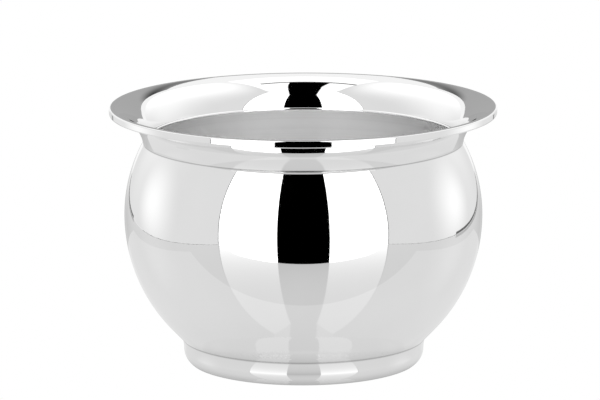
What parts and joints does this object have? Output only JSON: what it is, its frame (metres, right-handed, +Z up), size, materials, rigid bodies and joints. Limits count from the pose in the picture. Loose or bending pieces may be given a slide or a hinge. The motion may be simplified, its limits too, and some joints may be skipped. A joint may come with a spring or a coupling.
{
  "type": "shaving bowl",
  "caption": "Polished metal shaving bowl with a round belly, a flared collar with a flat-faced rim and a low bulging foot ring; satin inside.",
  "frame": {"origin": "centre of the face that the foot ring stands on", "axes": "+Z up along the bowl's turning axis, out of its mouth; X and Y are level, and the bowl is the same all round"},
  "size_m": [0.1, 0.1, 0.067],
  "materials": {
    "polished_plate": "mirror polished",
    "belly_plate": "mirror polished outside, turned satin inside",
    "solder": "dull"
  },
  "bodies": {
    "root": {"belly_shell": "belly_plate", "flared_collar": "polished_plate", "rim_band": "polished_plate", "foot_ring": "polished_plate", "foot_solder": "solder"}
  },
  "joints": []
}
